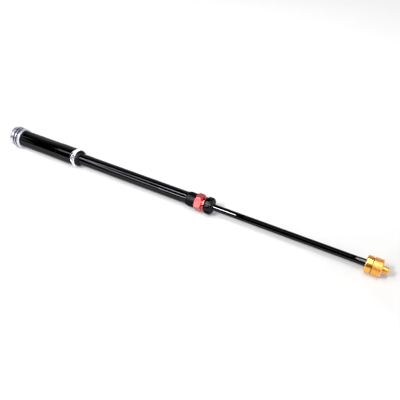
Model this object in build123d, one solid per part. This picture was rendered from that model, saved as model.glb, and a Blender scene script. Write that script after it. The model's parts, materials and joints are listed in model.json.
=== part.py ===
from build123d import *
import os
from math import ceil, cos, radians, sin

# Telescopic damper cartridge, in millimetres. Its axis is X, and the rod points to +X.
# The origin is the centre of the cap's outer face, and +Z is up when the cartridge lies on a bench.

# Driving dimensions
ROD_R = 5.0
TUBE_R = 9.5
TUBE_BORE_R = 8.0
BARREL_R = 14.2
BARREL_BORE_R = 12.2
CAP_R = 17.5
TRAVEL = 180.0
STROKE_END_GAP = 8.0  # left between the piston post and the base valve at full compression
RUNNING_FIT = 0.05
FREE_GAP = 0.3
O_RING_GAP = 0.05

# Stations along X where one outer piece ends and the next starts
CAP_END = 21.0
COLLAR_START = 99.0
COUPLING_START = 130.8
REDUCER_START = 138.3
REDUCER_END = 144.5
JAM_RING_START = 347.0
LOCK_RING_START = 350.0
SEAL_HEAD_START = 362.4
SEAL_HEAD_SHOULDER = 374.2
SEAL_HEAD_END = 379.0
GLAND_NUT_START = 380.2
GLAND_NUT_END = 390.0
FERRULE_START = 612.0
FOOT_START = 620.8
FOOT_SPLIT = 629.8
STUD_START = 643.0
STUD_END = 652.0

# Outer sizes of the turned and hexagonal pieces.
# A clock is where a flat or a slot faces, in degrees from +Y towards +Z.
COLLAR_R = 14.5
COUPLING_ACROSS_FLATS = 26.8
COUPLING_CLOCK = 135.0
REDUCER_R = 13.7
JAM_RING_R = 10.5
LOCK_RING_R = 11.4
SEAL_HEAD_ACROSS_FLATS = 24.1
SEAL_HEAD_CLOCK = 140.0
SEAL_HEAD_SHOULDER_R = 11.9
GLAND_NUT_R = 13.5
GLAND_NUT_CLOCK = 125.0
NECK_R = 8.6
FERRULE_R = 5.2
FOOT_FLANGE_R = 12.2
FOOT_BLOCK_R = 12.5
STUD_R = 5.0

# Cap end
CAP_SPIGOT_END = 32.0
CAP_O_RING_STATIONS = (9.4, 14.6)
CAP_O_RING_WIRE_R = 1.5
SPIGOT_O_RING_STATION = 26.0
DIAL_R = 6.0
DIAL_START = 0.8
DIAL_END = 4.6
RECESS_DEPTH = 5.0
DIAL_STEM_R = 2.5
DIAL_STEM_END = 17.0
NEEDLE_R = 1.5
COMPRESSION_NEEDLE_START = 18.2
COMPRESSION_NEEDLE_END = 124.0
SHAFT_R = 4.0
SHAFT_START = 20.0
SHAFT_THREAD_R = 3.0
SHAFT_THREAD_START = 113.5
SHAFT_END = 126.5

# Base valve, on the end of the shaft
VALVE_BORE_R = 8.4
BASE_VALVE_START = 116.0
BASE_VALVE_END = 122.0
CHECK_PLATE_END = 122.6
CHECK_PLATE_LIFT = 0.8
BASE_NUT_START = 123.5
BASE_NUT_END = 126.1
VALVE_NUT_ACROSS_FLATS = 9.0
SHIM_THICKNESS = 0.3
SHIM_STACK_LENGTH = 2.5
PORT_R = 0.9
PORTS = 8

# Threads, spigots and seals hidden inside the joints
COLLAR_BORE_R = 13.3
BARREL_END = 112.0
COUPLING_SPIGOT_START = 113.0
COLLAR_O_RING_STATION = 119.0
STATIC_O_RING_WIRE_R = 0.75
TUBE_START = 126.0
TUBE_END = SEAL_HEAD_START
HEAD_SPIGOT_START = 349.0
HEAD_O_RING_STATION = 352.0
HEAD_O_RING_WIRE_R = 0.45
BUSH_START = 354.0
BUSH_END = 366.0
BUSH_SEAT_R = 6.2
ROD_SEAL_SEAT_R = 7.2
ROD_SEAL_LENGTH = 4.8
GLAND_THREAD_START = 372.0
WIPER_START = 384.0
WIPER_SEAT_R = 7.4

# Free piston and its spring
FREE_PISTON_START = 94.0
FREE_PISTON_END = 106.0
FREE_BAND_START = 95.5
FREE_BAND_END = 99.5
FREE_BAND_THICKNESS = 1.0
FREE_SEAL_STATION = 102.3
FREE_SEAL_WIRE_R = 0.9
FREE_INNER_SEAL_STATION = 100.6
SPRING_START = 32.4
SPRING_END = 93.6
SPRING_MEAN_R = 9.0
SPRING_WIRE_R = 1.1
SPRING_TURNS = 8

# Main piston group, from the base valve side towards the seal head, set back by the full stroke
POST_R = 3.0
POST_START = SHAFT_END + STROKE_END_GAP + TRAVEL
PISTON_NUT_START = POST_START + 1.0
PISTON_NUT_END = PISTON_NUT_START + 5.0
PISTON_START = PISTON_NUT_END + SHIM_STACK_LENGTH
PISTON_END = PISTON_START + 9.0
PISTON_BAND_INSET = 2.0
PISTON_BAND_THICKNESS = 0.9
ROD_START = PISTON_END + SHIM_STACK_LENGTH
POST_END = ROD_START + 11.5
TOP_OUT_PLATE_R = 7.3
TOP_OUT_PLATE_END = ROD_START + 2.0
TOP_OUT_SPRING_START = TOP_OUT_PLATE_END + 0.2
TOP_OUT_SPRING_END = HEAD_SPIGOT_START - 0.6
TOP_OUT_SPRING_MEAN_R = 6.3
TOP_OUT_WIRE_R = 0.8
TOP_OUT_TURNS = 4

# Rod's foot end and the rebound adjuster
ROD_THREAD_R = 4.5
ROD_END = 637.0
ROD_BORE_R = 3.0
CRUSH_WASHER_THICKNESS = 1.0
SCREW_R = 2.5
SCREW_START = 646.0
SCREW_END = 651.0
REBOUND_NEEDLE_START = POST_START + 6.5
REBOUND_NEEDLE_END = 645.4


# ---- shapes that several pieces share

def turned(*corners):
    """Solid of revolution about X from its (x, radius) corners."""
    return revolve(make_face(Polyline(*corners, close=True)), Axis.X)


def ring(start, end, outer_r, inner_r=0.0):
    return turned((start, inner_r), (end, inner_r), (end, outer_r), (start, outer_r))


def eased_ring(start, end, outer_r, inner_r, ease):
    """Ring with its two outer edges chamfered."""
    return turned(
        (start, inner_r),
        (end, inner_r),
        (end, outer_r - ease),
        (end - ease, outer_r),
        (start + ease, outer_r),
        (start, outer_r - ease),
    )


def o_ring(station, wall_r, wire_r, side=-1):
    """Torus about X that just clears a wall. Its side is -1 within a bore's wall and +1 around a shaft's."""
    section = Plane.XY * Pos(station, wall_r + side * (wire_r + O_RING_GAP)) * Circle(wire_r)
    return revolve(section, Axis.X)


def o_ring_seat(station, wall_r, wire_r, side=-1):
    """Ring to cut from a body for that O-ring to lie in."""
    half_width = wire_r + 0.2
    floor_r = wall_r + side * 2 * (wire_r + O_RING_GAP)
    open_r = wall_r - side
    return ring(station - half_width, station + half_width, max(floor_r, open_r), min(floor_r, open_r))


def hexagon(start, end, across_flats, clock, chamfer):
    """Hexagonal prism along X with its corners turned down at both ends."""
    section = Plane.YZ * RegularPolygon(across_flats / 2, 6, major_radius=False, rotation=clock - 30)
    prism = extrude(section.moved(Location((start, 0, 0))), end - start, dir=(1, 0, 0))
    inscribed_r = across_flats / 2
    corner_r = inscribed_r / cos(radians(30))
    flat_r = inscribed_r - 0.3
    tall_r = corner_r + 1.0
    run = chamfer * (tall_r - flat_r) / (corner_r - flat_r)
    envelope = turned(
        (start, 0), (end, 0), (end, flat_r), (end - run, tall_r), (start + run, tall_r), (start, flat_r)
    )
    return prism & envelope


def coil(start, end, mean_r, wire_r, turns):
    """Coil spring along X that keeps between its two stations."""
    length = end - start - 2 * wire_r
    path = Helix(pitch=length / turns, height=length, radius=mean_r, direction=(1, 0, 0))
    path = path.moved(Location((start + wire_r, 0, 0)))
    section = Plane(origin=path @ 0, z_dir=path % 0) * Circle(wire_r)
    return sweep(section, path=path)


def around(count, radius, clock=0.0):
    """Points on a circle about X, as (y, z), the first at the clock angle."""
    angles = [radians(clock + 360 * k / count) for k in range(count)]
    return [(radius * cos(a), radius * sin(a)) for a in angles]


def drilled(body, start, end, hole_r, points):
    """Body with round holes along X through the (y, z) points."""
    for y, z in points:
        hole = Plane.YZ.offset(start) * Pos(y, z) * Circle(hole_r)
        body -= extrude(hole, end - start, dir=(1, 0, 0))
    return body


def slotted(body, start, end, rim_r, width, depth, count, clock=0.0):
    """Body with straight slots cut into its rim."""
    cut = depth + 1.0
    for k in range(count):
        box = Pos((start + end) / 2, rim_r - depth + cut / 2, 0) * Box(end - start, cut, width)
        body -= box.rotate(Axis.X, clock + 360 * k / count)
    return body


def ported_piston(start, end, outer_r, bore_r):
    """Turned piston with a circle of round ports that open into a dished ring on each face."""
    middle_r = (outer_r + bore_r) / 2
    half_dish, dish_depth = PORT_R + 0.3, 0.4
    body = ring(start, end, outer_r, bore_r)
    for dish in (start, end - dish_depth):
        body -= ring(dish, dish + dish_depth, middle_r + half_dish, middle_r - half_dish)
    return drilled(body, start, end, PORT_R, around(PORTS, middle_r))


def shim_stack(start, bore_r, rising):
    """Spring washers that taper in radius, one solid each, with a hair of air between them."""
    largest_r, smallest_r, air = 6.4, 4.2, 0.02
    count = ceil(SHIM_STACK_LENGTH / SHIM_THICKNESS) - 1
    pitch = SHIM_STACK_LENGTH / count
    shims = []
    for k in range(count):
        share = k / (count - 1)
        outer_r = smallest_r + (largest_r - smallest_r) * (share if rising else 1 - share)
        first = start + k * pitch
        shims.append(ring(first, first + pitch - air, outer_r, bore_r))
    return Compound(children=shims)


def valve_nut(start, end, bore_r):
    nut = hexagon(start, end, VALVE_NUT_ACROSS_FLATS, clock=0.0, chamfer=0.5)
    return nut - ring(start, end, bore_r)


# ---- cap end

def top_cap():
    """Polished cap: grooved flange, spigot for the barrel, recess and bores for the adjuster."""
    outer_ease, inner_ease, spigot_ease = 1.2, 0.8, 0.6
    body = turned(
        (0, DIAL_R + FREE_GAP),
        (0, CAP_R - outer_ease),
        (outer_ease, CAP_R),
        (CAP_END - inner_ease, CAP_R),
        (CAP_END, CAP_R - inner_ease),
        (CAP_END, BARREL_BORE_R),
        (CAP_SPIGOT_END - spigot_ease, BARREL_BORE_R),
        (CAP_SPIGOT_END, BARREL_BORE_R - spigot_ease),
        (CAP_SPIGOT_END, SHAFT_R),
        (SHAFT_START, SHAFT_R),
        (SHAFT_START, DIAL_STEM_R + RUNNING_FIT),
        (RECESS_DEPTH, DIAL_STEM_R + RUNNING_FIT),
        (RECESS_DEPTH, DIAL_R + FREE_GAP),
    )
    for station in CAP_O_RING_STATIONS:
        body -= o_ring_seat(station, CAP_R, CAP_O_RING_WIRE_R)
    body -= o_ring_seat(SPIGOT_O_RING_STATION, BARREL_BORE_R, STATIC_O_RING_WIRE_R)
    spanner_holes = around(count=4, radius=11.5, clock=45)
    return drilled(body, start=0, end=4.0, hole_r=1.6, points=spanner_holes)


def compression_dial():
    """Adjuster dial with a ribbed rim, a driver slot and a stem."""
    driver_slot = Pos(DIAL_START + 0.9, 0, 0) * Box(1.8, 9.0, 1.4)
    body = eased_ring(DIAL_START, DIAL_END, DIAL_R, inner_r=0, ease=0.5)
    body = slotted(body, DIAL_START, DIAL_END, DIAL_R, width=0.9, depth=0.5, count=18)
    return body + ring(DIAL_END, DIAL_STEM_END, DIAL_STEM_R) - driver_slot


def base_shaft():
    """Hollow shaft screwed into the cap, stepped down to a thread that carries the base valve."""
    bore_r = NEEDLE_R + RUNNING_FIT
    return turned(
        (SHAFT_START, bore_r),
        (SHAFT_START, SHAFT_R),
        (SHAFT_THREAD_START, SHAFT_R),
        (SHAFT_THREAD_START, SHAFT_THREAD_R),
        (SHAFT_END, SHAFT_THREAD_R),
        (SHAFT_END, bore_r),
    )


def base_check_plate():
    """Thin plate that lifts off the base valve's ports on the rebound stroke."""
    assert CHECK_PLATE_END + CHECK_PLATE_LIFT < BASE_NUT_START
    return ring(BASE_VALVE_END, CHECK_PLATE_END, VALVE_BORE_R - 1.4, SHAFT_THREAD_R + RUNNING_FIT)


# ---- barrel, coupling and tube

def reservoir_barrel():
    """Barrel tube, with its lower end turned down to screw into the collar."""
    start_ease, end_ease = 0.3, 0.5
    return turned(
        (CAP_END, BARREL_BORE_R),
        (CAP_END, BARREL_R - start_ease),
        (CAP_END + start_ease, BARREL_R),
        (COLLAR_START - end_ease, BARREL_R),
        (COLLAR_START, BARREL_R - end_ease),
        (COLLAR_START, COLLAR_BORE_R),
        (BARREL_END, COLLAR_BORE_R),
        (BARREL_END, BARREL_BORE_R),
    )


def free_piston():
    """Floating piston, grooved outside for its band and seal, and inside for the shaft seal."""
    body = eased_ring(
        FREE_PISTON_START, FREE_PISTON_END, BARREL_BORE_R - FREE_GAP, SHAFT_R + FREE_GAP, ease=0.4
    )
    body -= ring(FREE_BAND_START, FREE_BAND_END, BARREL_BORE_R, BARREL_BORE_R - FREE_BAND_THICKNESS)
    body -= o_ring_seat(FREE_SEAL_STATION, BARREL_BORE_R, FREE_SEAL_WIRE_R)
    return body - o_ring_seat(FREE_INNER_SEAL_STATION, SHAFT_R, STATIC_O_RING_WIRE_R, side=1)


def hex_coupling():
    """Hexagon with a grooved spigot for the collar and a socket for the damper tube."""
    body = hexagon(COUPLING_START, REDUCER_START, COUPLING_ACROSS_FLATS, COUPLING_CLOCK, chamfer=1.6)
    body += ring(COUPLING_SPIGOT_START, COUPLING_START, COLLAR_BORE_R)
    body -= o_ring_seat(COLLAR_O_RING_STATION, COLLAR_BORE_R, STATIC_O_RING_WIRE_R)
    body -= ring(COUPLING_SPIGOT_START, TUBE_START, VALVE_BORE_R)
    return body - ring(TUBE_START, REDUCER_START, TUBE_R)


def reducer_cone():
    """Rounded reducer between the coupling and the tube."""
    shoulder = (REDUCER_START + 1.0, REDUCER_R)
    lip = (REDUCER_END, TUBE_R + 0.6)
    outline = Polyline(
        lip, (REDUCER_END, TUBE_R), (REDUCER_START, TUBE_R), (REDUCER_START, REDUCER_R), shoulder
    )
    curve = TangentArc(shoulder, lip, tangent=(1, 0))
    return revolve(make_face([*outline.edges(), curve.edge()]), Axis.X)


# ---- rings, seal head and gland nut

def jam_ring():
    """Narrow notched ring that locks the larger ring."""
    body = eased_ring(JAM_RING_START, LOCK_RING_START, JAM_RING_R, TUBE_R, ease=0.4)
    return slotted(body, JAM_RING_START + 1.4, LOCK_RING_START, JAM_RING_R, width=1.6, depth=0.6, count=16)


def lock_ring():
    """Ring with a smooth land and a notched rim, screwed over the tube against the seal head."""
    land_end = LOCK_RING_START + 3.0
    body = eased_ring(LOCK_RING_START, SEAL_HEAD_START, LOCK_RING_R, TUBE_R, ease=0.5)
    return slotted(body, land_end, SEAL_HEAD_START, LOCK_RING_R, width=3.0, depth=1.0, count=12, clock=8)


def seal_head():
    """Hexagonal head with a grooved shoulder and a spigot for the tube, bored for the bush and the seal."""
    groove_depth, groove_length, slope, bevel = 1.0, 2.2, 0.8, 1.2
    hexed = hexagon(SEAL_HEAD_START, SEAL_HEAD_SHOULDER, SEAL_HEAD_ACROSS_FLATS, SEAL_HEAD_CLOCK, chamfer=1.9)
    shoulder = turned(
        (SEAL_HEAD_SHOULDER, 0),
        (SEAL_HEAD_SHOULDER, SEAL_HEAD_SHOULDER_R - groove_depth),
        (SEAL_HEAD_SHOULDER + groove_length, SEAL_HEAD_SHOULDER_R - groove_depth),
        (SEAL_HEAD_SHOULDER + groove_length, SEAL_HEAD_SHOULDER_R),
        (SEAL_HEAD_END - slope, SEAL_HEAD_SHOULDER_R),
        (SEAL_HEAD_END, SEAL_HEAD_SHOULDER_R - bevel),
        (SEAL_HEAD_END, 0),
    )
    body = hexed + shoulder + ring(HEAD_SPIGOT_START, SEAL_HEAD_START, TUBE_BORE_R)
    body -= o_ring_seat(HEAD_O_RING_STATION, TUBE_BORE_R, HEAD_O_RING_WIRE_R)
    body -= ring(HEAD_SPIGOT_START, SEAL_HEAD_END, ROD_R + FREE_GAP)
    body -= ring(BUSH_START, BUSH_END, BUSH_SEAT_R)
    body -= ring(BUSH_END, GLAND_THREAD_START, ROD_SEAL_SEAT_R)
    return body - ring(GLAND_THREAD_START, SEAL_HEAD_END, NECK_R)


def rod_seal():
    """Lip seal behind the gland nut, with its lip on the rod."""
    start = BUSH_END + 0.2
    end = start + ROD_SEAL_LENGTH
    lip_r, lip_width, throat_r = ROD_R + 2 * RUNNING_FIT, 1.2, ROD_R + 0.6
    return turned(
        (start, throat_r),
        (start, ROD_SEAL_SEAT_R),
        (end, ROD_SEAL_SEAT_R),
        (end, lip_r),
        (end - lip_width, lip_r),
    )


def gland_nut():
    """Rounded nut with six spanner slots and a threaded neck that closes the seal head."""
    back_r, front_r = 1.6, 4.0
    outline = Polyline(
        (GLAND_NUT_END, GLAND_NUT_R - front_r),
        (GLAND_NUT_END, ROD_R + FREE_GAP),
        (GLAND_THREAD_START, ROD_R + FREE_GAP),
        (GLAND_THREAD_START, NECK_R),
        (GLAND_NUT_START, NECK_R),
        (GLAND_NUT_START, GLAND_NUT_R - back_r),
    )
    rim_start, rim_end = (GLAND_NUT_START + back_r, GLAND_NUT_R), (GLAND_NUT_END - front_r, GLAND_NUT_R)
    back = RadiusArc((GLAND_NUT_START, GLAND_NUT_R - back_r), rim_start, back_r)
    rim = Line(rim_start, rim_end)
    front = RadiusArc(rim_end, (GLAND_NUT_END, GLAND_NUT_R - front_r), front_r)
    body = revolve(make_face([*outline.edges(), back.edge(), rim.edge(), front.edge()]), Axis.X)
    body -= ring(WIPER_START, GLAND_NUT_END, WIPER_SEAT_R)
    return slotted(
        body,
        GLAND_NUT_START,
        GLAND_NUT_END,
        GLAND_NUT_R,
        width=3.2,
        depth=1.7,
        count=6,
        clock=GLAND_NUT_CLOCK,
    )


def dust_wiper():
    """Rubber ring in the nut's front recess, with a lip on the rod."""
    body_end, lip_start = WIPER_START + 4.6, WIPER_START + 3.2
    lip_end = GLAND_NUT_END + 0.4
    lip_r, relief = ROD_R + 2 * RUNNING_FIT, 0.6
    return turned(
        (WIPER_START, lip_r + relief),
        (WIPER_START, WIPER_SEAT_R),
        (body_end, WIPER_SEAT_R),
        (lip_end, lip_r + relief),
        (lip_end, lip_r),
        (body_end, lip_r),
        (lip_start, lip_r + relief),
    )


# ---- rod, main piston and foot

def main_piston():
    body = ported_piston(PISTON_START, PISTON_END, TUBE_BORE_R - FREE_GAP, POST_R)
    seat_r = TUBE_BORE_R - PISTON_BAND_THICKNESS - 2 * RUNNING_FIT
    return body - ring(PISTON_START + PISTON_BAND_INSET, PISTON_END - PISTON_BAND_INSET, TUBE_BORE_R, seat_r)


def piston_band():
    """Bearing band that stands still while the piston turns in it."""
    start, end = PISTON_START + PISTON_BAND_INSET, PISTON_END - PISTON_BAND_INSET
    outer_r = TUBE_BORE_R - RUNNING_FIT
    return ring(start + RUNNING_FIT, end - RUNNING_FIT, outer_r, outer_r - PISTON_BAND_THICKNESS)


def damper_rod():
    """Hollow rod with a threaded foot end."""
    ease = 0.3
    return turned(
        (ROD_START, ROD_BORE_R),
        (ROD_START, ROD_R - ease),
        (ROD_START + ease, ROD_R),
        (FERRULE_START, ROD_R),
        (FERRULE_START, ROD_THREAD_R),
        (ROD_END, ROD_THREAD_R),
        (ROD_END, ROD_BORE_R),
    )


def foot_lock_nut():
    """Gold flange with a bevelled back, screwed on the rod."""
    back_bevel, front_bevel = 0.8, 0.4
    end = FOOT_SPLIT - CRUSH_WASHER_THICKNESS / 2
    return turned(
        (FOOT_START, ROD_THREAD_R),
        (FOOT_START, FOOT_FLANGE_R - back_bevel),
        (FOOT_START + back_bevel, FOOT_FLANGE_R),
        (end - front_bevel, FOOT_FLANGE_R),
        (end, FOOT_FLANGE_R - front_bevel),
        (end, ROD_THREAD_R),
    )


def foot_bolt():
    """Gold grooved block with a hollow stud for the rebound screw."""
    start = FOOT_SPLIT + CRUSH_WASHER_THICKNESS / 2
    back_bevel, front_bevel, stud_bevel, stud_taper = 0.4, 1.3, 1.1, 2.0
    screw_seat = SCREW_START - 0.5
    body = turned(
        (start, ROD_THREAD_R),
        (start, FOOT_BLOCK_R - back_bevel),
        (start + back_bevel, FOOT_BLOCK_R),
        (STUD_START - front_bevel, FOOT_BLOCK_R),
        (STUD_START, FOOT_BLOCK_R - front_bevel),
        (STUD_START, STUD_R),
        (STUD_END - stud_taper, STUD_R),
        (STUD_END, STUD_R - stud_bevel),
        (STUD_END, SCREW_R + RUNNING_FIT),
        (screw_seat, SCREW_R + RUNNING_FIT),
        (screw_seat, ROD_BORE_R),
        (ROD_END, ROD_BORE_R),
        (ROD_END, ROD_THREAD_R),
    )
    groove_count, groove_pitch, groove_width, groove_depth = 5, 1.9, 0.5, 0.4
    for k in range(groove_count):
        groove = start + groove_pitch * (k + 1.2)
        body -= ring(groove, groove + groove_width, FOOT_BLOCK_R + 1, FOOT_BLOCK_R - groove_depth)
    return body


def rebound_screw():
    """Round adjuster screw with a driver slot."""
    depth, width = 1.2, 1.0
    slot = Pos(SCREW_END - depth / 2, 0, 0) * Box(depth, 2 * SCREW_R, width)
    return eased_ring(SCREW_START, SCREW_END, SCREW_R, inner_r=0, ease=0.2) - slot


# ---- the assembly, from the cap to the foot

PARTS = {
    "top_cap": top_cap(),
    "cap_spigot_o_ring": o_ring(SPIGOT_O_RING_STATION, BARREL_BORE_R, STATIC_O_RING_WIRE_R),
    "compression_dial": compression_dial(),
    "compression_needle": ring(COMPRESSION_NEEDLE_START, COMPRESSION_NEEDLE_END, NEEDLE_R),
    "base_shaft": base_shaft(),
    "base_valve_shims": shim_stack(BASE_VALVE_START - SHIM_STACK_LENGTH, SHAFT_THREAD_R, rising=True),
    "base_valve_piston": ported_piston(
        BASE_VALVE_START, BASE_VALVE_END, VALVE_BORE_R - RUNNING_FIT, SHAFT_THREAD_R
    ),
    "base_check_plate": base_check_plate(),
    "base_valve_nut": valve_nut(BASE_NUT_START, BASE_NUT_END, SHAFT_THREAD_R),
    "reservoir_barrel": reservoir_barrel(),
    "pressure_spring": coil(SPRING_START, SPRING_END, SPRING_MEAN_R, SPRING_WIRE_R, SPRING_TURNS),
    "free_piston": free_piston(),
    "free_piston_band": ring(
        FREE_BAND_START, FREE_BAND_END, BARREL_BORE_R - RUNNING_FIT, BARREL_BORE_R - FREE_BAND_THICKNESS
    ),
    "free_piston_seal": o_ring(FREE_SEAL_STATION, BARREL_BORE_R, FREE_SEAL_WIRE_R),
    "free_piston_inner_seal": o_ring(FREE_INNER_SEAL_STATION, SHAFT_R, STATIC_O_RING_WIRE_R, side=1),
    "barrel_end_collar": eased_ring(COLLAR_START, COUPLING_START, COLLAR_R, COLLAR_BORE_R, ease=0.5),
    "collar_o_ring": o_ring(COLLAR_O_RING_STATION, COLLAR_BORE_R, STATIC_O_RING_WIRE_R),
    "hex_coupling": hex_coupling(),
    "reducer_cone": reducer_cone(),
    "damper_tube": ring(TUBE_START, TUBE_END, TUBE_R, TUBE_BORE_R),
    "jam_ring": jam_ring(),
    "lock_ring": lock_ring(),
    "seal_head": seal_head(),
    "seal_head_o_ring": o_ring(HEAD_O_RING_STATION, TUBE_BORE_R, HEAD_O_RING_WIRE_R),
    "rod_bush": ring(BUSH_START, BUSH_END, BUSH_SEAT_R, ROD_R + RUNNING_FIT),
    "rod_seal": rod_seal(),
    "gland_nut": gland_nut(),
    "dust_wiper": dust_wiper(),
    "piston_nut": valve_nut(PISTON_NUT_START, PISTON_NUT_END, POST_R),
    "compression_shims": shim_stack(PISTON_NUT_END, POST_R, rising=True),
    "main_piston": main_piston(),
    "piston_band": piston_band(),
    "rebound_shims": shim_stack(PISTON_END, POST_R, rising=False),
    "piston_post": ring(POST_START, POST_END, POST_R, NEEDLE_R + RUNNING_FIT),
    "top_out_plate": ring(ROD_START, TOP_OUT_PLATE_END, TOP_OUT_PLATE_R, ROD_R),
    "top_out_spring": coil(
        TOP_OUT_SPRING_START, TOP_OUT_SPRING_END, TOP_OUT_SPRING_MEAN_R, TOP_OUT_WIRE_R, TOP_OUT_TURNS
    ),
    "damper_rod": damper_rod(),
    "rod_ferrule": eased_ring(FERRULE_START, FOOT_START, FERRULE_R, ROD_THREAD_R, ease=0.3),
    "foot_lock_nut": foot_lock_nut(),
    "crush_washer": ring(
        FOOT_SPLIT - CRUSH_WASHER_THICKNESS / 2, FOOT_SPLIT + CRUSH_WASHER_THICKNESS / 2, 10.8, ROD_THREAD_R
    ),
    "foot_bolt": foot_bolt(),
    "rebound_needle": ring(REBOUND_NEEDLE_START, REBOUND_NEEDLE_END, NEEDLE_R),
    "rebound_screw": rebound_screw(),
}

for number, station in enumerate(CAP_O_RING_STATIONS, start=1):
    PARTS[f"cap_o_ring_{number}"] = o_ring(station, CAP_R, CAP_O_RING_WIRE_R)

os.makedirs("parts", exist_ok=True)
for name, shape in PARTS.items():
    shape.label = name
    export_step(shape, f"parts/{name}.step")

# The rod pushes oil aside, and the free piston makes room for it.
free_piston_ratio = ROD_R**2 / (BARREL_BORE_R**2 - SHAFT_R**2)
print("free piston travel per rod travel:", round(free_piston_ratio, 5))
print("free piston travel over the full stroke:", round(free_piston_ratio * TRAVEL, 2), "mm")
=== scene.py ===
import bmesh
import bpy
import json
from math import atan2, cos, degrees, exp, pi, radians, sin
from mathutils import Matrix, Vector


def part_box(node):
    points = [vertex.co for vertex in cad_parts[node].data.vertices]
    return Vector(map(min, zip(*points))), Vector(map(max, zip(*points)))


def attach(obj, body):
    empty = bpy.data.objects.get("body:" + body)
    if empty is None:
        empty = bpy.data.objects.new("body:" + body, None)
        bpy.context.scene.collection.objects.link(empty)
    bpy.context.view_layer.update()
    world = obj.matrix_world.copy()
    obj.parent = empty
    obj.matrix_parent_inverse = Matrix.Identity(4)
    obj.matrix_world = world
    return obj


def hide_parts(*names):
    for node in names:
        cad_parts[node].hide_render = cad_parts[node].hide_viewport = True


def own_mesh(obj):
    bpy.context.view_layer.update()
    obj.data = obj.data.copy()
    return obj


# Telescopic damper cartridge. The frame's axis is +X, from the cap to the foot, and every size is in metres.
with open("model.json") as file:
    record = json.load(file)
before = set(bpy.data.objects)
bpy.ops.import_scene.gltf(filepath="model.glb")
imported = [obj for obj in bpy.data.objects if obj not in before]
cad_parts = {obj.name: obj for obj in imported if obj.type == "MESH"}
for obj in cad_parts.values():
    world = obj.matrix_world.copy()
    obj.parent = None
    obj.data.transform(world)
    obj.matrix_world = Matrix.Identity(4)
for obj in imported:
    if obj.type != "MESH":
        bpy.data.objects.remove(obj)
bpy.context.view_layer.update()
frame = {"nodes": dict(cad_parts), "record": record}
MM = 0.001


# ---------------------------------------------------------------- sizes, read from the frame

def start_of(node):
    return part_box(node)[0].x


def end_of(node):
    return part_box(node)[1].x


def radius_of(node):
    low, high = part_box(node)
    return min(high.y - low.y, high.z - low.z) / 2


def corner_direction(node, low, high):
    """Angle about X, in degrees from +Y towards +Z, of the node's furthest vertex between two stations."""
    best, angle = 0.0, 0.0
    for vertex in frame["nodes"][node].data.vertices:
        reach = (vertex.co.y**2 + vertex.co.z**2) ** 0.5
        if low < vertex.co.x < high and reach > best:
            best, angle = reach, degrees(atan2(vertex.co.z, vertex.co.y))
    return angle


# The stations where one outer piece ends and the next starts
CAP_END = start_of("reservoir_barrel")
COLLAR_START = start_of("barrel_end_collar")
COUPLING_START = end_of("barrel_end_collar")
REDUCER_START = start_of("reducer_cone")
REDUCER_END = end_of("reducer_cone")
JAM_RING_START = start_of("jam_ring")
LOCK_RING_START = start_of("lock_ring")
HEAD_START = end_of("lock_ring")
HEAD_END = end_of("seal_head")
NUT_END = end_of("gland_nut")
FERRULE_START = start_of("rod_ferrule")
FOOT_START = start_of("foot_lock_nut")
FOOT_END = end_of("foot_bolt")

ROD_R = radius_of("damper_rod")
TUBE_R = radius_of("damper_tube")
BARREL_R = radius_of("reservoir_barrel")
CAP_R = radius_of("top_cap")

# Hidden radii that two pieces share
BARREL_BORE_R = 12.2 * MM
COLLAR_BORE_R = 13.3 * MM
TUBE_BORE_R = 8.0 * MM
HEAD_NECK_R = 8.6 * MM
ROD_BORE_R = 3.0 * MM
ROD_THREAD_R = 4.5 * MM
SCREW_BORE_R = 2.55 * MM


# ---------------------------------------------------------------- camera, lights and floor

# A photographer stands in front of the foot and looks down along the cartridge.
CAMERA_PLACE = Vector((0.6283, -0.4884, 0.5208))
CAMERA_AZIMUTH = 28.06
CAMERA_ELEVATION = 43.0
CAMERA_LENS = 45.0


def aim(azimuth, elevation):
    """Rotation of a camera that looks along the azimuth, counted from +Y, and down by the elevation."""
    a, e = radians(azimuth), radians(elevation)
    back = Vector((sin(a) * cos(e), -cos(a) * cos(e), sin(e)))
    right = Vector((cos(a), sin(a), 0))
    up = back.cross(right)
    return Matrix((right, up, back)).transposed()


def add_camera():
    data = bpy.data.cameras.new("camera")
    data.lens = CAMERA_LENS
    data.sensor_width = 36.0
    camera = bpy.data.objects.new("camera", data)
    camera.matrix_world = Matrix.LocRotScale(CAMERA_PLACE, aim(CAMERA_AZIMUTH, CAMERA_ELEVATION), None)
    bpy.context.scene.collection.objects.link(camera)
    bpy.context.scene.camera = camera


def add_strip(name, first, last, reach, width, radiance):
    """Strip light between two (station, elevation) ends, at that reach from the X axis and facing it.
    Elevation is counted in degrees from -Y over +Z."""
    ends = []
    for station, elevation in (first, last):
        e = radians(elevation)
        ends.append(Vector((station, -reach * cos(e), reach * sin(e))))
    along = (ends[1] - ends[0]).normalized()
    middle = (ends[0] + ends[1]) / 2
    back = Vector((0, middle.y, middle.z))
    back = (back - back.dot(along) * along).normalized()
    data = bpy.data.lights.new(name, "AREA")
    data.shape = "RECTANGLE"
    data.size, data.size_y = (ends[1] - ends[0]).length, width
    data.energy = radiance * pi * data.size * data.size_y
    light = bpy.data.objects.new(name, data)
    turn = Matrix((along, back.cross(along), back)).transposed()
    light.matrix_world = Matrix.LocRotScale(middle, turn, None)
    bpy.context.scene.collection.objects.link(light)


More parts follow.
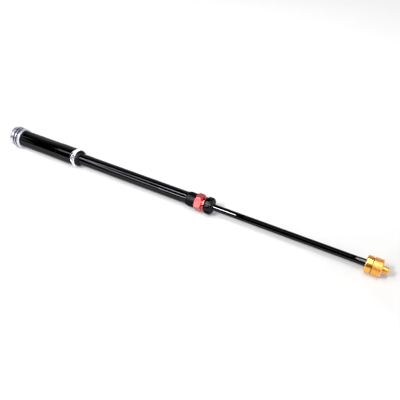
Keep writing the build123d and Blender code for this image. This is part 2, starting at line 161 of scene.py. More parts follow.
def add_lights():
    """Two rows of strips in front draw the two bright lines along the tube, and grow brighter towards the
    rod. They meet in a panel that draws the grey line on the barrel. One panel lights the cap, and one the
    foot."""
    reach, width = 1.07, 0.1
    rows = {"high": (60, 78, 81, 81), "low": (56, 36, 28, 29)}
    stations, radiances = (-0.56, -0.42, -0.2, 0.02), (9.5, 19.0, 36.0)
    for row, elevations in rows.items():
        for k, radiance in enumerate(radiances):
            ends = ((stations[k], elevations[k]), (stations[k + 1], elevations[k + 1]))
            add_strip(f"strip_{row}_{k}", *ends, reach, width, radiance)
    add_strip("rod_lamp", (0.02, 54), (0.13, 54), reach, 0.2, 140.0)
    add_strip("rod_glow", (0.16, 81), (0.56, 81), reach, 0.14, 3.0)
    add_strip("barrel_panel", (-0.69, 61), (-0.56, 61), reach, 0.26, 5.0)
    add_strip("cap_panel", (-1.3, 45), (-0.9, 45), reach, 1.0, 1.6)
    add_strip("over_foot", (0.575, 86), (0.7, 86), reach, 1.14, 12.0)


def add_world():
    """White studio walls behind and beside, up to head height, and a white end beyond the foot.
    The wall is brightest beyond the barrel, and its far corner is dark, which greys the cap's rim."""
    world = bpy.data.worlds.new("studio")
    bpy.context.scene.world = world
    world.use_nodes = True
    nodes, links = world.node_tree.nodes, world.node_tree.links
    background = nodes["Background"]
    coordinate = nodes.new("ShaderNodeTexCoord")
    split = nodes.new("ShaderNodeSeparateXYZ")
    links.new(coordinate.outputs["Generated"], split.inputs[0])

    def ramp(source, low, high, out_low, out_high):
        node = nodes.new("ShaderNodeMapRange")
        node.interpolation_type = "SMOOTHSTEP"
        node.inputs["From Min"].default_value = low
        node.inputs["From Max"].default_value = high
        node.inputs["To Min"].default_value = out_low
        node.inputs["To Max"].default_value = out_high
        links.new(source, node.inputs["Value"])
        return node.outputs["Result"]

    def combine(operation, first, second):
        node = nodes.new("ShaderNodeMath")
        node.operation = operation
        links.new(first, node.inputs[0])
        links.new(second, node.inputs[1])
        return node.outputs["Value"]

    behind = ramp(split.outputs["Y"], -0.1, 0.2, 0.0, 1.0)
    left = ramp(split.outputs["X"], -0.95, -0.75, 1.0, 0.0)
    far_side = ramp(split.outputs["X"], -0.66, -0.45, 2.2, 1.0)
    far_corner = ramp(split.outputs["X"], -0.66, -0.632, 0.12, 1.0)
    side = combine("MULTIPLY", far_side, ramp(split.outputs["X"], -0.35, 0.1, 1.0, 0.5))
    side = combine("MULTIPLY", side, far_corner)
    wall = combine("MULTIPLY", ramp(split.outputs["Z"], 0.3, 0.85, 1.05, 0.04), side)
    around = combine("MULTIPLY", combine("MAXIMUM", behind, left), wall)
    right = ramp(split.outputs["X"], 0.4, 0.75, 0.0, 1.2)
    links.new(combine("MAXIMUM", around, right), background.inputs["Strength"])
    background.inputs["Color"].default_value = (1, 1, 1, 1)


def add_floor():
    """White table that touches the cap's rim and the foot. Painted light: the table glows, faintly along the
    cartridge and more strongly away from it, which leaves painted shade around the cartridge.
    """
    slope = (CAP_R - radius_of("foot_bolt")) / FOOT_END
    half, gap = 3.0, 0.2 * MM
    corners = [(-half, -half), (half, -half), (half, half), (-half, half)]
    mesh = bpy.data.meshes.new("floor")
    mesh.from_pydata([(x, y, slope * x - CAP_R - gap) for x, y in corners], [], [(0, 1, 2, 3)])
    floor = bpy.data.objects.new("floor", mesh)
    bpy.context.scene.collection.objects.link(floor)
    paint = Paint("glowing_floor_paper")
    paint.set(Roughness=0.9, Specular_IOR_Level=0.1, Emission_Color=(1, 1, 1, 1))
    paint.colour(paint.blend(paint.noise(30.0, 4.0), (0.6, 0.6, 0.6), (0.64, 0.64, 0.64)))
    split = paint.nodes.new("ShaderNodeSeparateXYZ")
    paint.links.new(paint.place, split.inputs[0])
    # Painted light: the floor's emission grows with distance from the axis, so the floor glows brightest far
    # from the cartridge and stays darker beside it as painted shade.
    away = paint.math("ABSOLUTE", split.outputs["Y"], 0.0)
    paint.links.new(paint.ramp(away, 0.05, 0.35, 0.12, 0.47), paint.shader.inputs["Emission Strength"])
    mesh.materials.append(paint.material)


# ---------------------------------------------------------------- materials

class Paint:
    """Adds nodes to one material."""

    def __init__(self, name):
        self.material = bpy.data.materials.new(name)
        self.material.use_nodes = True
        self.nodes = self.material.node_tree.nodes
        self.links = self.material.node_tree.links
        self.shader = self.nodes["Principled BSDF"]
        self.place = self.nodes.new("ShaderNodeTexCoord").outputs["Object"]

    def stretched(self, scale):
        mapping = self.nodes.new("ShaderNodeMapping")
        mapping.inputs["Scale"].default_value = scale
        self.links.new(self.place, mapping.inputs["Vector"])
        return mapping.outputs["Vector"]

    def noise(self, scale, detail=3.0, stretch=(1, 1, 1)):
        node = self.nodes.new("ShaderNodeTexNoise")
        node.inputs["Scale"].default_value = scale
        node.inputs["Detail"].default_value = detail
        self.links.new(self.stretched(stretch), node.inputs["Vector"])
        return node.outputs["Fac"]

    def math(self, operation, first, second):
        node = self.nodes.new("ShaderNodeMath")
        node.operation = operation
        for socket, value in zip(node.inputs, (first, second)):
            if isinstance(value, (int, float)):
                socket.default_value = value
            else:
                self.links.new(value, socket)
        return node.outputs["Value"]

    def lathe_marks(self, pitch):
        """Uneven rings about X: they run around turned walls, and in circles over end faces."""
        split = self.nodes.new("ShaderNodeSeparateXYZ")
        self.links.new(self.place, split.inputs[0])
        length = self.nodes.new("ShaderNodeVectorMath")
        length.operation = "LENGTH"
        self.links.new(self.stretched((0, 1, 1)), length.inputs[0])
        along = self.math("MULTIPLY_ADD", length.outputs["Value"], 0.8)
        self.links.new(split.outputs["X"], along.node.inputs[2])
        node = self.nodes.new("ShaderNodeTexNoise")
        node.noise_dimensions = "1D"
        node.inputs["Scale"].default_value = 1 / pitch
        node.inputs["Detail"].default_value = 3.0
        self.links.new(along, node.inputs["W"])
        return node.outputs["Fac"]

    def edges(self):
        """Worn edges: the mesh's edge attribute, broken up by noise."""
        attribute = self.nodes.new("ShaderNodeAttribute")
        attribute.attribute_name = "edge"
        patches = self.ramp(self.noise(700.0, 4.0), 0.38, 0.62, 0.0, 1.0)
        return self.math("MULTIPLY", attribute.outputs["Fac"], patches)

    def ramp(self, value, low, high, out_low, out_high):
        node = self.nodes.new("ShaderNodeMapRange")
        node.inputs["From Min"].default_value = low
        node.inputs["From Max"].default_value = high
        node.inputs["To Min"].default_value = out_low
        node.inputs["To Max"].default_value = out_high
        self.links.new(value, node.inputs["Value"])
        return node.outputs["Result"]

    def blend(self, value, first, second):
        """Mix of two colours. Either may be an output or an RGB triple."""
        node = self.nodes.new("ShaderNodeMix")
        node.data_type = "RGBA"
        for name, colour in (("A", first), ("B", second)):
            if isinstance(colour, tuple):
                node.inputs[name].default_value = (*colour, 1)
            else:
                self.links.new(colour, node.inputs[name])
        self.links.new(value, node.inputs["Factor"])
        return node.outputs["Result"]

    def colour(self, output):
        self.links.new(output, self.shader.inputs["Base Color"])

    def roughness(self, output):
        self.links.new(output, self.shader.inputs["Roughness"])

    def bump(self, output, depth):
        """Adds a height to the shader's normal."""
        node = self.nodes.new("ShaderNodeBump")
        node.inputs["Distance"].default_value = depth
        self.links.new(output, node.inputs["Height"])
        self.links.new(node.outputs["Normal"], self.shader.inputs["Normal"])

    def set(self, **sockets):
        for name, value in sockets.items():
            self.shader.inputs[name.replace("_", " ")].default_value = value


def black_coat(name, rough, depth, pitch=0.5 * MM, shine=0.025, wear=0.06):
    """Black anodising: a dark mirror with faint clouds, turning marks and edges rubbed lighter."""
    paint = Paint(name)
    paint.set(Metallic=1.0, Specular_Tint=(0.55, 0.55, 0.55, 1))
    cloud = paint.ramp(paint.noise(60.0, 4.0, (0.4, 1, 1)), 0.35, 0.75, 0, 1)
    base = paint.blend(cloud, (shine * 0.9, shine * 0.9, shine), (shine * 1.15, shine * 1.15, shine * 1.2))
    paint.colour(paint.blend(paint.edges(), base, (wear, wear, wear * 1.05)))
    streaks = paint.noise(900.0, 2.0, (0.05, 1, 1))
    paint.roughness(paint.ramp(streaks, 0.3, 0.8, rough * 0.8, rough * 1.5))
    paint.bump(paint.lathe_marks(pitch), depth)
    return paint.material


def aluminium(name, pale, deep, rough):
    """Bright turned aluminium with a faint cool tint and fine rings."""
    paint = Paint(name)
    paint.set(Metallic=1.0)
    cloud = paint.ramp(paint.noise(90.0, 4.0), 0.3, 0.8, 0, 1)
    base = paint.blend(cloud, pale, deep)
    paint.colour(paint.blend(paint.edges(), base, (0.97, 0.97, 1.0)))
    paint.roughness(paint.ramp(paint.noise(500.0, 3.0, (0.1, 1, 1)), 0.3, 0.8, rough * 0.8, rough * 1.4))
    paint.bump(paint.lathe_marks(0.3 * MM), 0.001 * MM)
    return paint.material


def anodised(name, deep, pale, bare, rough):
    """Coloured anodising over turned aluminium, under a clear sealed top, rubbed bare along its edges."""
    paint = Paint(name)
    paint.set(Metallic=1.0, Coat_Weight=0.6, Coat_Roughness=0.1)
    cloud = paint.ramp(paint.noise(120.0, 4.0), 0.35, 0.75, 0, 1)
    paint.colour(paint.blend(paint.edges(), paint.blend(cloud, deep, pale), bare))
    paint.roughness(paint.ramp(paint.noise(800.0, 3.0, (0.2, 1, 1)), 0.3, 0.8, rough * 0.85, rough * 1.25))
    paint.bump(paint.lathe_marks(0.35 * MM), 0.001 * MM)
    return paint.material


def rubber(name, deep, pale):
    """Moulded rubber with a fine grain."""
    paint = Paint(name)
    paint.set(Specular_IOR_Level=0.4)
    paint.colour(paint.blend(paint.ramp(paint.noise(400.0), 0.4, 0.8, 0, 1), deep, pale))
    paint.roughness(paint.ramp(paint.noise(1200.0), 0.3, 0.8, 0.3, 0.5))
    paint.bump(paint.noise(3000.0, 2.0), 0.006 * MM)
    return paint.material


def machined(name, deep, pale):
    """Plain turned or ground metal."""
    paint = Paint(name)
    paint.set(Metallic=1.0)
    paint.colour(paint.blend(paint.ramp(paint.noise(150.0, 4.0), 0.35, 0.75, 0, 1), deep, pale))
    paint.roughness(paint.ramp(paint.noise(900.0, 3.0, (0.2, 1, 1)), 0.3, 0.8, 0.24, 0.39))
    paint.bump(paint.lathe_marks(0.25 * MM), 0.002 * MM)
    return paint.material


def moulded(name, deep, pale):
    """Filled bearing plastic."""
    paint = Paint(name)
    paint.colour(paint.blend(paint.ramp(paint.noise(900.0, 4.0), 0.4, 0.7, 0, 1), deep, pale))
    paint.roughness(paint.ramp(paint.noise(600.0), 0.3, 0.8, 0.45, 0.65))
    paint.bump(paint.noise(2500.0, 2.0), 0.01 * MM)
    return paint.material


FINISHES = {
    "polished_aluminium": aluminium("polished_aluminium", (0.9, 0.9, 0.95), (0.78, 0.78, 0.86), 0.12),
    "satin_aluminium": aluminium("satin_aluminium", (0.72, 0.72, 0.78), (0.6, 0.6, 0.68), 0.32),
    "o_ring_rubber": rubber("o_ring_rubber", (0.008, 0.009, 0.04), (0.014, 0.016, 0.06)),
    "black_anodised": black_coat("black_anodised", 0.05, 0.0001 * MM),
    "black_nut": black_coat("black_nut", 0.16, 0.0004 * MM, wear=0.12),
    "black_satin": black_coat("black_satin", 0.3, 0.0005 * MM, shine=0.02),
    "black_ring": black_coat("black_ring", 0.35, 0.001 * MM, shine=0.012, wear=0.05),
    "red_anodised": anodised("red_anodised", (0.4, 0.03, 0.032), (0.5, 0.05, 0.052), (0.8, 0.4, 0.38), 0.22),
    "black_rod": black_coat("black_rod", 0.03, 0.00003 * MM, pitch=0.3 * MM),
    "gold_anodised": anodised("gold_anodised", (0.95, 0.42, 0.05), (1.0, 0.52, 0.08), (1.0, 0.75, 0.4), 0.3),
    "gold_satin": anodised("gold_satin", (0.95, 0.42, 0.05), (1.0, 0.52, 0.08), (1.0, 0.75, 0.4), 0.45),
    "copper": machined("copper", (0.32, 0.12, 0.03), (0.45, 0.2, 0.06)),
    "brass": machined("brass", (0.6, 0.42, 0.16), (0.72, 0.52, 0.24)),
    "steel": machined("steel", (0.5, 0.5, 0.51), (0.6, 0.6, 0.62)),
    "spring_steel": machined("spring_steel", (0.22, 0.22, 0.24), (0.32, 0.32, 0.34)),
    "valve_aluminium": machined("valve_aluminium", (0.6, 0.6, 0.62), (0.72, 0.72, 0.75)),
    "bearing_band": moulded("bearing_band", (0.18, 0.1, 0.05), (0.3, 0.18, 0.09)),
}

BODY_OF = {}
for body, members in frame["record"]["behaviour"]["bodies"].items():
    for member in members:
        BODY_OF[member] = body
SLOT_OF = {entry["node"]: entry["material_slot"] for entry in frame["record"]["subparts"]}

for node, thing in frame["nodes"].items():
    thing.data.materials.clear()
    thing.data.materials.append(FINISHES[SLOT_OF[node]])


# ---------------------------------------------------------------- mesh helpers

def eased(*corners, steps=5):
    """Closed outline of (x, radius, edge) points. A corner is (x, radius) or (x, radius, ease): the ease is
    how far its rounding reaches, and edge is 1 in the middle of a rounding and 0 on plain walls."""
    points = []
    for k, corner in enumerate(corners):
        here = Vector(corner[:2])
        if len(corner) == 2:
            points.append((here.x, here.y, 0.0))
            continue
        before = Vector(corners[k - 1][:2]) - here
        after = Vector(corners[(k + 1) % len(corners)][:2]) - here
        start = here + before.normalized() * min(corner[2], 0.49 * before.length)
        end = here + after.normalized() * min(corner[2], 0.49 * after.length)
        for step in range(steps + 1):
            t = step / steps
            point = start * (1 - t) ** 2 + here * 2 * t * (1 - t) + end * t * t
            points.append((point.x, point.y, sin(pi * t)))
    return points


def arc(middle, radius, first, last, steps):
    """Points on an arc in the (x, radius) plane, in degrees from +X towards the outside."""
    angles = [radians(first + (last - first) * k / steps) for k in range(steps + 1)]
    return [(middle[0] + radius * cos(a), middle[1] + radius * sin(a), 0.0) for a in angles]


def held(outline, grip=0.2 * MM):
    """The outline with a point close to both ends of each long wall, which keeps its shading straight."""
    points = []
    for here, after in zip(outline, outline[1:] + outline[:1]):
        points.append(here)
        first = Vector(here[:2])
        wall = Vector(after[:2]) - first
        if wall.length > 5 * grip:
            near, far = first + wall.normalized() * grip, first + wall - wall.normalized() * grip
            points += [(near.x, near.y, 0.0), (far.x, far.y, 0.0)]
    return points


def even_angles(count=192):
    return [360 * k / count for k in range(count)]


def spin(name, outline, angles=None, shape=None):
    """Closed mesh swept about X from its outline. Angles are degrees from +Y towards +Z.
    shape(x, radius, angle) gives the true radius of a section that isn't round."""
    angles = angles or even_angles()
    outline = held(outline)
    mesh = bpy.data.meshes.new(name)
    vertices, edge_values, faces = [], [], []
    for x, r, edge in outline:
        for angle in angles:
            true_r = shape(x, r, angle) if shape else r
            vertices.append((x, true_r * cos(radians(angle)), true_r * sin(radians(angle))))
            edge_values.append(edge)
    rows, columns = len(outline), len(angles)
    for i in range(rows):
        j = (i + 1) % rows
        for k in range(columns):
            m = (k + 1) % columns
            faces.append((i * columns + k, i * columns + m, j * columns + m, j * columns + k))
    mesh.from_pydata(vertices, [], faces)
    mesh.attributes.new("edge", "FLOAT", "POINT").data.foreach_set("value", edge_values)
    return mesh


def place(mesh, node, finish=None, sharp=35.0):
    """Mends the mesh's normals, shades it, and puts it in the CAD node's place."""
    work = bmesh.new()
    work.from_mesh(mesh)
    bmesh.ops.remove_doubles(work, verts=work.verts, dist=0.0005 * MM)
    bmesh.ops.recalc_face_normals(work, faces=work.faces)
    work.to_mesh(mesh)
    work.free()
    mesh.polygons.foreach_set("use_smooth", [True] * len(mesh.polygons))
    mesh.set_sharp_from_angle(angle=radians(sharp))
    mesh.materials.clear()
    mesh.materials.append(FINISHES[finish or SLOT_OF[node]])
    piece = bpy.data.objects.new(mesh.name, mesh)
    bpy.context.scene.collection.objects.link(piece)
    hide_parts(node)
    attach(piece, BODY_OF[node])
    return piece


def cut(mesh, *cutters):
    """The mesh with the closed cutter meshes taken away."""
    scene = bpy.context.scene.collection
    body = bpy.data.objects.new("uncut", mesh)
    scene.objects.link(body)
    tools = []
    for cutter in cutters:
        tool = bpy.data.objects.new("cutter", cutter)
        scene.objects.link(tool)
        step = body.modifiers.new("cut", "BOOLEAN")
        step.operation, step.solver, step.object = "DIFFERENCE", "EXACT", tool
        tools.append(tool)
    seen = body.evaluated_get(bpy.context.evaluated_depsgraph_get())
    result = bpy.data.meshes.new_from_object(seen)
    result.name = mesh.name + "_cut"
    for thing in (body, *tools):
        bpy.data.objects.remove(thing)
    return result


def rod_cutter(start, end, radius, y, z):
    """Round bar along X."""
    bar = bmesh.new()
    turn = Matrix.Rotation(pi / 2, 4, "Y")
    move = Matrix.Translation(((start + end) / 2, y, z))
    bmesh.ops.create_cone(
        bar, cap_ends=True, segments=48, radius1=radius, radius2=radius, depth=end - start, matrix=move @ turn
    )
    mesh = bpy.data.meshes.new("bar")
    bar.to_mesh(mesh)
    bar.free()
    return mesh


def slot_cutter(start, end, length, width):
    """Rectangular bar along X, for a driver slot."""
    block = bmesh.new()
    move = Matrix.Translation(((start + end) / 2, 0, 0))
    size = Matrix.Diagonal((end - start, length, width, 1))
    bmesh.ops.create_cube(block, size=1.0, matrix=move @ size)
    mesh = bpy.data.meshes.new("block")
    block.to_mesh(mesh)
    block.free()
    return mesh


def hex_angles(clock):
    """Section angles for a hexagon, closest together at its corners."""
    near = (0, 0.3, 0.7, 1.2, 2, 3, 5)
    steps = sorted({*near, *(-a for a in near), *range(-30, 30, 3)})
    return sorted((clock + 30 + 60 * side + step) % 360 for side in range(6) for step in steps if step > -29)


def hex_shape(across_flats, clock, softness=0.1 * MM):
    """Trims a round section to a hexagon with a slightly broken edge."""
    def shape(x, r, angle):
        turn = (angle - clock + 30) % 60 - 30
        flat = across_flats / 2 / cos(radians(turn))
        gap = (r - flat) / softness
        if abs(gap) > 12:
            return min(r, flat)
        share = 1 / (1 + exp(gap))
        return r * share + flat * (1 - share)
    return shape


def notch_angles(count, half_width, clock, corner=0.6):
    """Section angles for a notched rim, with a close pair at each notch's side."""
    pitch = 360 / count
    land = pitch / 2 - half_width
    steps = [-half_width - corner, -half_width - corner / 3, -half_width + corner / 3, -half_width + corner]
    steps += [-half_width / 3, half_width / 3]
    steps += [-step for step in reversed(steps[:4])]
    steps += [half_width + land * k / 4 for k in range(1, 8)]
    return sorted((clock + pitch * k + step) % 360 for k in range(count) for step in steps)


def notch_shape(count, half_width, clock, floor_r, first, last):
    """Lowers the rim to a flat floor within each notch, between two stations."""
    pitch = 360 / count
    def shape(x, r, angle):
        turn = (angle - clock + pitch / 2) % pitch - pitch / 2
        if first <= x <= last and abs(turn) < half_width:
            return min(r, floor_r / cos(radians(turn)))
        return r
    return shape


def half_angle(width, radius):
    """Half the angle, in degrees, that a notch of that width covers at that radius."""
    return degrees(width / 2 / radius)


# ---------------------------------------------------------------- cap end

def build_cap():
    """Satin aluminium cap with two ring grooves, a recess for the dial and four spanner holes."""
    bore_r, circle_r, hole_r, hole_depth = 4.0 * MM, 11.5 * MM, 1.6 * MM, 4.0 * MM
    wire = (end_of("cap_o_ring_1") - start_of("cap_o_ring_1")) / 2
    recess_r, recess_floor = radius_of("compression_dial") + 0.3 * MM, 5.0 * MM
    corners = [
        (recess_floor, SCREW_BORE_R), (recess_floor, recess_r), (0, recess_r, 0.3 * MM),
        (0, CAP_R - 1.2 * MM, 0.3 * MM), (1.2 * MM, CAP_R, 0.4 * MM),
    ]
    for ring in ("cap_o_ring_1", "cap_o_ring_2"):
        middle = (start_of(ring) + end_of(ring)) / 2
        half, floor_r = wire + 0.2 * MM, CAP_R - 2 * wire - 0.1 * MM
        corners += [
            (middle - half, CAP_R, 0.25 * MM), (middle - half, floor_r, 0.3 * MM),
            (middle + half, floor_r, 0.3 * MM), (middle + half, CAP_R, 0.25 * MM),
        ]
    corners += [
        (CAP_END - 0.8 * MM, CAP_R, 0.35 * MM), (CAP_END, CAP_R - 0.8 * MM, 0.35 * MM),
        (CAP_END, BARREL_BORE_R), (end_of("top_cap"), BARREL_BORE_R, 0.6 * MM), (end_of("top_cap"), bore_r),
        (start_of("base_shaft"), bore_r), (start_of("base_shaft"), SCREW_BORE_R),
    ]
    mesh = spin("cap", eased(*corners))
    holes = []
    for k in range(4):
        a = radians(45 + 90 * k)
        holes.append(rod_cutter(-1 * MM, hole_depth, hole_r, circle_r * cos(a), circle_r * sin(a)))
    place(cut(mesh, *holes), "top_cap", finish="satin_aluminium")


def build_cap_rings():
    """Two moulded rings in the cap's grooves."""
    for node in ("cap_o_ring_1", "cap_o_ring_2"):
        wire = (end_of(node) - start_of(node)) / 2
        middle = (start_of(node) + wire, radius_of(node) - wire)
        place(spin(node + "_moulding", arc(middle, wire, 0, 360, 24)[:-1]), node)


def build_dial():
    """Adjuster dial with a ribbed rim, a driver slot and a stem."""
    node, ribs = "compression_dial", 18
    start, end, r = start_of(node), 4.6 * MM, radius_of(node)
    outline = eased(
        (start, 0.01 * MM), (start, r - 0.5 * MM, 0.3 * MM), (start + 0.5 * MM, r, 0.3 * MM),
        (end - 0.5 * MM, r, 0.3 * MM), (end, r - 0.5 * MM, 0.3 * MM), (end, 2.5 * MM),
        (end_of(node), 2.5 * MM, 0.3 * MM), (end_of(node), 0.01 * MM),
    )
    half = half_angle(0.9 * MM, r)
    shape = notch_shape(ribs, half, 0, r - 0.5 * MM, start, end)
    mesh = spin("dial", outline, notch_angles(ribs, half, 0), shape)
    place(cut(mesh, slot_cutter(start - 1 * MM, start + 1.8 * MM, 9.0 * MM, 1.4 * MM)), node)


# ---------------------------------------------------------------- barrel, coupling and tube

def build_barrel():
    """Black barrel, with its end turned down inside the collar, and the collar behind a fine seam."""
    node, seam = "reservoir_barrel", COLLAR_START - 0.1 * MM
    place(spin("barrel", eased(
        (CAP_END, BARREL_BORE_R), (CAP_END, BARREL_R, 0.3 * MM), (seam, BARREL_R, 0.2 * MM),
        (seam, COLLAR_BORE_R), (end_of(node), COLLAR_BORE_R), (end_of(node), BARREL_BORE_R),
    )), node)
    collar_r = radius_of("barrel_end_collar")
    place(spin("collar", eased(
        (COLLAR_START, COLLAR_BORE_R), (COLLAR_START, collar_r, 0.25 * MM),
        (COUPLING_START, collar_r, 0.5 * MM), (COUPLING_START, COLLAR_BORE_R),
    )), "barrel_end_collar")


def hex_rows(start, end, flat_r, corner_r, run, rows=14):
    """Outline of a hexagon's turned envelope, with rows close together where it meets the flats."""
    points = []
    for k in range(rows + 1):
        share = k / rows
        points.append((start + run * share, flat_r + (corner_r - flat_r) * share, 0.0))
    for k in range(rows, -1, -1):
        share = k / rows
        points.append((end - run * share, flat_r + (corner_r - flat_r) * share, 0.0))
    return points


def build_coupling():
    """Thin polished hexagon between the collar and the reducer."""
    node, across_flats = "hex_coupling", 26.8 * MM
    corner_r = across_flats / 2 / cos(radians(30))
    clock = corner_direction(node, COUPLING_START, REDUCER_START) + 30
    valve_r, tube_start = 8.4 * MM, start_of("damper_tube")
    rows = hex_rows(COUPLING_START, REDUCER_START, 13.1 * MM, corner_r + 0.3 * MM, 1.8 * MM)
    inside = eased(
        (REDUCER_START, TUBE_R), (tube_start, TUBE_R), (tube_start, valve_r), (start_of(node), valve_r),
        (start_of(node), COLLAR_BORE_R), (COUPLING_START - 0.05 * MM, COLLAR_BORE_R),
    )
    place(spin("coupling", rows + inside, hex_angles(clock), hex_shape(across_flats, clock)), node)


def build_reducer():
    """Rounded black reducer with a small lip on the tube."""
    node, r = "reducer_cone", radius_of("reducer_cone")
    shoulder, lip_r = REDUCER_START + 1.0 * MM, TUBE_R + 0.6 * MM
    run, fall = REDUCER_END - shoulder, r - lip_r
    bow = (run**2 + fall**2) / (2 * fall)
    sweep = degrees(atan2(run, bow - fall))
    dome = arc((shoulder, r - bow), bow, 90, 90 - sweep, 16)
    outline = eased((REDUCER_START, TUBE_R), (REDUCER_START, r, 0.3 * MM)) + dome + eased(
        (REDUCER_END, lip_r - 0.05 * MM), (REDUCER_END, TUBE_R)
    )
    place(spin("reducer", outline), node, finish="black_satin")


def build_tube():
    """Plain black tube."""
    node = "damper_tube"
    start, end = start_of(node), end_of(node)
    outline = eased((start, TUBE_BORE_R), (start, TUBE_R), (end, TUBE_R), (end, TUBE_BORE_R))
    place(spin("tube", outline), node)


# ---------------------------------------------------------------- rings, seal head and gland nut

def build_jam_ring():
    """Narrow ring with fine notches."""
    node, count, r = "jam_ring", 16, radius_of("jam_ring")
    start, end, inner = JAM_RING_START, LOCK_RING_START, TUBE_R
    half = half_angle(1.6 * MM, r)
    first = start + 1.4 * MM
    outline = eased(
        (start, inner), (start, r, 0.4 * MM), (first - 0.05 * MM, r), (first + 0.05 * MM, r),
        (end, r, 0.4 * MM), (end, inner),
    )
    shape = notch_shape(count, half, 0, r - 0.6 * MM, first, end)
    place(spin("jam_ring_body", outline, notch_angles(count, half, 0), shape), node, finish="black_ring")


def build_lock_ring():
    """Larger ring: a smooth land, then a notched rim."""
    node, count, clock, r = "lock_ring", 12, 8, radius_of("lock_ring")
    start, end, inner = LOCK_RING_START, HEAD_START, TUBE_R
    half = half_angle(3.0 * MM, r)
    first = start + 3.0 * MM
    outline = eased(
        (start, inner), (start, r, 0.5 * MM), (first - 0.08 * MM, r), (first + 0.08 * MM, r),
        (end, r, 0.5 * MM), (end, inner),
    )
    shape = notch_shape(count, half, clock, r - 1.0 * MM, first, end)
    place(spin("lock_ring_body", outline, notch_angles(count, half, clock), shape), node, finish="black_ring")


def build_seal_head():
    """Red hexagon with a grooved shoulder, and the spigot that stands in the tube."""
    node, across_flats = "seal_head", 24.1 * MM
    corner_r = across_flats / 2 / cos(radians(30))
    shoulder, rim_r, groove_r = HEAD_START + 11.8 * MM, 11.9 * MM, 10.9 * MM
    clock = corner_direction(node, HEAD_START, shoulder) + 30
    rod_bore, seal_seat = ROD_R + 0.3 * MM, 7.2 * MM
    bush_start, bush_end, bush_r = start_of("rod_bush"), end_of("rod_bush"), radius_of("rod_bush")
    neck = start_of("gland_nut")
    rows = hex_rows(HEAD_START, shoulder, 11.75 * MM, corner_r + 0.3 * MM, 2.2 * MM)
    shoulder_rows = eased(
        (shoulder + 0.02 * MM, groove_r), (shoulder + 2.2 * MM, groove_r, 0.2 * MM),
        (shoulder + 2.2 * MM, rim_r, 0.25 * MM), (HEAD_END - 0.8 * MM, rim_r, 0.3 * MM),
        (HEAD_END, rim_r - 1.2 * MM, 0.3 * MM),
        (HEAD_END, HEAD_NECK_R), (neck, HEAD_NECK_R), (neck, seal_seat), (bush_end, seal_seat),
        (bush_end, bush_r), (bush_start, bush_r), (bush_start, rod_bore), (start_of(node), rod_bore),
        (start_of(node), TUBE_BORE_R, 0.3 * MM), (HEAD_START - 0.02 * MM, TUBE_BORE_R),
    )
    place(spin("head", rows + shoulder_rows, hex_angles(clock), hex_shape(across_flats, clock)), node)


def build_gland_nut():
    """Rounded nut with six spanner slots, and the threaded neck behind it."""
    node, count, clock, r = "gland_nut", 6, 125, radius_of("gland_nut")
    back, front = HEAD_END + 1.2 * MM, NUT_END
    back_r, front_r = 1.6 * MM, 4.0 * MM
    bore_r, wiper_r = ROD_R + 0.3 * MM, radius_of("dust_wiper")
    outline = eased((start_of(node), bore_r), (start_of(node), HEAD_NECK_R), (back, HEAD_NECK_R))
    outline += arc((back + back_r, r - back_r), back_r, 180, 90, 8)
    outline += arc((front - front_r, r - front_r), front_r, 90, 0, 14)
    outline += eased(
        (front, wiper_r, 0.25 * MM), (start_of("dust_wiper"), wiper_r), (start_of("dust_wiper"), bore_r)
    )
    half = half_angle(3.2 * MM, r)
    shape = notch_shape(count, half, clock, r - 1.7 * MM, back, front)
    place(spin("nut", outline, notch_angles(count, half, clock), shape), node)


def build_wiper():
    """Rubber wiper with a lip on the rod."""
    node, lip_r = "dust_wiper", ROD_R + 0.1 * MM
    start, end, outer = start_of(node), end_of(node), radius_of(node)
    place(spin("wiper", eased(
        (start, lip_r + 0.6 * MM), (start, outer), (NUT_END - 1.4 * MM, outer, 0.3 * MM),
        (end, lip_r + 0.6 * MM, 0.2 * MM), (end, lip_r, 0.2 * MM), (NUT_END - 1.4 * MM, lip_r, 0.3 * MM),
        (NUT_END - 2.8 * MM, lip_r + 0.6 * MM),
    )), node)


# ---------------------------------------------------------------- rod and foot

def build_rod():
    """Polished black rod and the short ferrule beside the foot."""
    node = "damper_rod"
    start, end = start_of(node), end_of(node)
    place(spin("rod_body", eased(
        (start, ROD_BORE_R), (start, ROD_R, 0.3 * MM), (FERRULE_START, ROD_R),
        (FERRULE_START, ROD_THREAD_R), (end, ROD_THREAD_R), (end, ROD_BORE_R),
    )), node)
    ferrule_r = radius_of("rod_ferrule")
    place(spin("ferrule", eased(
        (FERRULE_START, ROD_THREAD_R), (FERRULE_START, ferrule_r, 0.3 * MM),
        (FOOT_START, ferrule_r, 0.3 * MM), (FOOT_START, ROD_THREAD_R),
    )), "rod_ferrule")


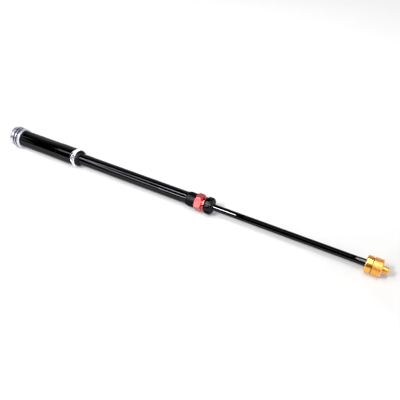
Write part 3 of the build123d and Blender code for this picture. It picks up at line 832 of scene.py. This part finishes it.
def build_foot():
    """Gold flange, dull washer and gold grooved block with its stud."""
    flange_r, block_r, stud_r = radius_of("foot_lock_nut"), radius_of("foot_bolt"), 5.0 * MM
    flange_end, block_start = end_of("foot_lock_nut"), start_of("foot_bolt")
    block_end, seat = FOOT_END - 9.0 * MM, start_of("rebound_screw") - 0.5 * MM
    place(spin("flange", eased(
        (FOOT_START, ROD_THREAD_R), (FOOT_START, flange_r - 0.8 * MM, 0.3 * MM),
        (FOOT_START + 0.8 * MM, flange_r, 0.3 * MM), (flange_end, flange_r, 0.4 * MM),
        (flange_end, ROD_THREAD_R),
    )), "foot_lock_nut")
    washer_r = radius_of("crush_washer")
    place(spin("washer", eased(
        (flange_end, ROD_THREAD_R), (flange_end, washer_r, 0.3 * MM),
        (block_start, washer_r, 0.3 * MM), (block_start, ROD_THREAD_R),
    )), "crush_washer")
    corners = [(block_start, ROD_THREAD_R), (block_start, block_r, 0.4 * MM)]
    for k in range(5):
        groove = block_start + 1.9 * MM * (k + 1.2)
        corners += [
            (groove, block_r, 0.15 * MM), (groove + 0.1 * MM, block_r - 0.4 * MM, 0.1 * MM),
            (groove + 0.4 * MM, block_r - 0.4 * MM, 0.1 * MM), (groove + 0.5 * MM, block_r, 0.15 * MM),
        ]
    corners += [
        (block_end - 1.3 * MM, block_r, 0.4 * MM), (block_end, block_r - 1.3 * MM, 0.4 * MM),
        (block_end, stud_r), (FOOT_END - 2.0 * MM, stud_r, 0.4 * MM), (FOOT_END, stud_r - 1.1 * MM, 0.3 * MM),
        (FOOT_END, SCREW_BORE_R, 0.15 * MM), (seat, SCREW_BORE_R), (seat, ROD_BORE_R),
        (end_of("damper_rod"), ROD_BORE_R), (end_of("damper_rod"), ROD_THREAD_R),
    ]
    place(spin("block", eased(*corners)), "foot_bolt", finish="gold_satin")


def build_screw():
    """Brass adjuster screw in the stud, with a driver slot."""
    node, r = "rebound_screw", radius_of("rebound_screw")
    start, end = start_of(node), end_of(node)
    mesh = spin("screw", eased(
        (start, 0.01 * MM), (start, r, 0.2 * MM), (end, r, 0.3 * MM), (end, 0.01 * MM)
    ), even_angles(72))
    place(cut(mesh, slot_cutter(end - 1.2 * MM, end + 1 * MM, 2.2 * r, 1.0 * MM)), node)


# ---------------------------------------------------------------- spring inside the barrel

def build_pressure_spring():
    """Coil that shortens as the free piston rises."""
    node, turns, per_turn, around_wire = "pressure_spring", 8, 40, 12
    wire = 1.1 * MM
    low, high = start_of(node) + wire, end_of(node) - wire
    mean_r = radius_of(node) - wire
    mesh = bpy.data.meshes.new("spring")
    vertices, faces = [], []
    count = turns * per_turn
    for k in range(count + 1):
        turn = 2 * pi * k / per_turn
        out = Vector((0, cos(turn), sin(turn)))
        middle = out * mean_r + Vector((low + (high - low) * k / count, 0, 0))
        for m in range(around_wire):
            a = 2 * pi * m / around_wire
            vertices.append(middle + wire * (cos(a) * out + sin(a) * Vector((1, 0, 0))))
    for k in range(count):
        for m in range(around_wire):
            n = (m + 1) % around_wire
            near, far = k * around_wire, (k + 1) * around_wire
            faces.append((near + m, near + n, far + n, far + m))
    faces += [tuple(range(around_wire)), tuple(range(count * around_wire, (count + 1) * around_wire))]
    mesh.from_pydata(vertices, [], faces)
    piece = place(mesh, node)
    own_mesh(piece)


build_cap()
build_cap_rings()
build_dial()
build_barrel()
build_coupling()
build_reducer()
build_tube()
build_jam_ring()
build_lock_ring()
build_seal_head()
build_gland_nut()
build_wiper()
build_rod()
build_foot()
build_screw()
build_pressure_spring()

add_camera()
add_world()
add_lights()
add_floor()
bpy.context.scene.view_settings.view_transform = "Standard"
